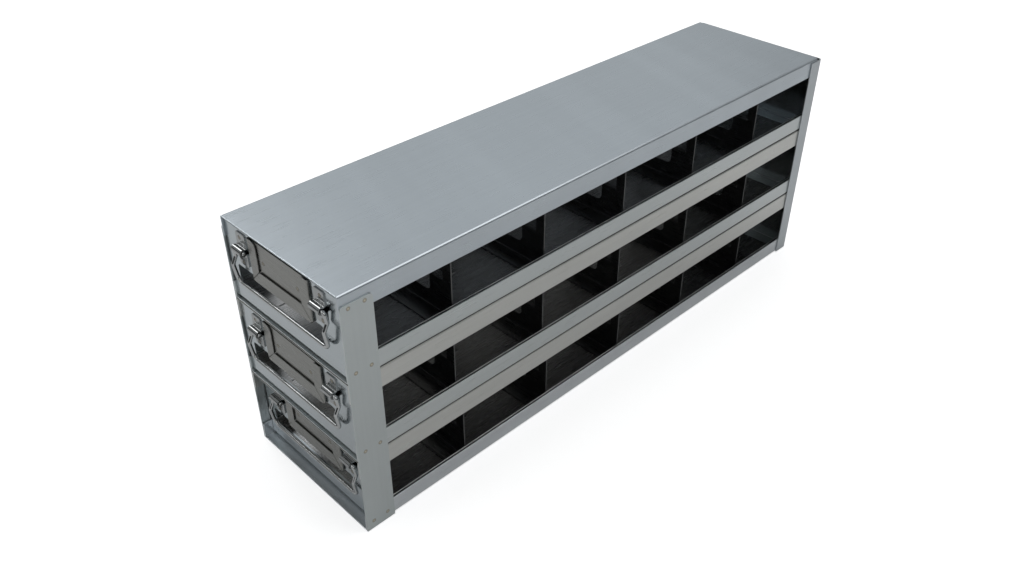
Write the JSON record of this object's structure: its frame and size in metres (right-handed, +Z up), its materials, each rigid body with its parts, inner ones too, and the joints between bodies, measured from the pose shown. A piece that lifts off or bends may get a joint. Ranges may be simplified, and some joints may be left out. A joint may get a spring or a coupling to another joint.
{
  "type": "freezer drawer rack",
  "caption": "Long upright-freezer rack of folded stainless sheet: stacked divided drawers slide in an open-sided casing, each with a wire bail handle and a folded label holder.",
  "frame": {"origin": "centre of the base panel's underside, halfway between the floors' front and rear edges", "axes": "+X to the right as seen from the drawers' fronts, +Y from the fronts to the rear, +Z up"},
  "size_m": [0.1422, 0.5745, 0.216],
  "materials": {
    "casing_steel": "brushed stainless sheet, cool grey",
    "ceiling_steel": "brushed stainless sheet, slightly warmer grey",
    "drawer_steel": "brushed stainless sheet",
    "divider_steel": "brushed stainless sheet",
    "holder_steel": "brushed stainless sheet, warm grey",
    "bright_steel": "smooth rolled strap, bright",
    "wire_steel": "polished round wire"
  },
  "bodies": {
    "casing": {"base_panel": "casing_steel", "lower_ceiling": "ceiling_steel", "lower_shelf": "casing_steel", "upper_ceiling": "ceiling_steel", "upper_shelf": "casing_steel", "top_panel": "casing_steel", "rear_panel": "casing_steel", "front_post_left": "casing_steel", "front_post_right": "casing_steel"},
    "bottom_drawer": {"bottom_drawer_tray": "drawer_steel", "bottom_drawer_front": "drawer_steel", "bottom_drawer_back": "drawer_steel", "bottom_label_holder": "holder_steel", "bottom_left_bracket": "bright_steel", "bottom_right_bracket": "bright_steel", "bottom_divider_1": "divider_steel", "bottom_divider_2": "divider_steel", "bottom_divider_3": "divider_steel", "bottom_divider_4": "divider_steel", "bottom_divider_5": "divider_steel"},
    "bottom_bail": {"bottom_bail_handle": "wire_steel"},
    "middle_drawer": {"middle_drawer_tray": "drawer_steel", "middle_drawer_front": "drawer_steel", "middle_drawer_back": "drawer_steel", "middle_label_holder": "holder_steel", "middle_left_bracket": "bright_steel", "middle_right_bracket": "bright_steel", "middle_divider_1": "divider_steel", "middle_divider_2": "divider_steel", "middle_divider_3": "divider_steel", "middle_divider_4": "divider_steel", "middle_divider_5": "divider_steel"},
    "middle_bail": {"middle_bail_handle": "wire_steel"},
    "top_drawer": {"top_drawer_tray": "drawer_steel", "top_drawer_front": "drawer_steel", "top_drawer_back": "drawer_steel", "top_label_holder": "holder_steel", "top_left_bracket": "bright_steel", "top_right_bracket": "bright_steel", "top_divider_1": "divider_steel", "top_divider_2": "divider_steel", "top_divider_3": "divider_steel", "top_divider_4": "divider_steel", "top_divider_5": "divider_steel"},
    "top_bail": {"top_bail_handle": "wire_steel"}
  },
  "joints": [
    {"name": "bottom_drawer_slide", "type": "slide", "parent": "casing", "child": "bottom_drawer", "axis": [0, -1, 0], "range_m": [0, 0.5]},
    {"name": "bottom_bail_hinge", "type": "hinge", "parent": "bottom_drawer", "child": "bottom_bail", "pos_m": [0, -0.2764, 0.0533], "axis": [-1, 0, 0], "range_deg": [0, 95]},
    {"name": "middle_drawer_slide", "type": "slide", "parent": "casing", "child": "middle_drawer", "axis": [0, -1, 0], "range_m": [-0.0065, 0.5]},
    {"name": "middle_bail_hinge", "type": "hinge", "parent": "middle_drawer", "child": "middle_bail", "pos_m": [0, -0.2829, 0.1253], "axis": [-1, 0, 0], "range_deg": [0, 95]},
    {"name": "top_drawer_slide", "type": "slide", "parent": "casing", "child": "top_drawer", "axis": [0, -1, 0], "range_m": [-0.0065, 0.5]},
    {"name": "top_bail_hinge", "type": "hinge", "parent": "top_drawer", "child": "top_bail", "pos_m": [0, -0.2829, 0.1973], "axis": [-1, 0, 0], "range_deg": [0, 95]}
  ]
}
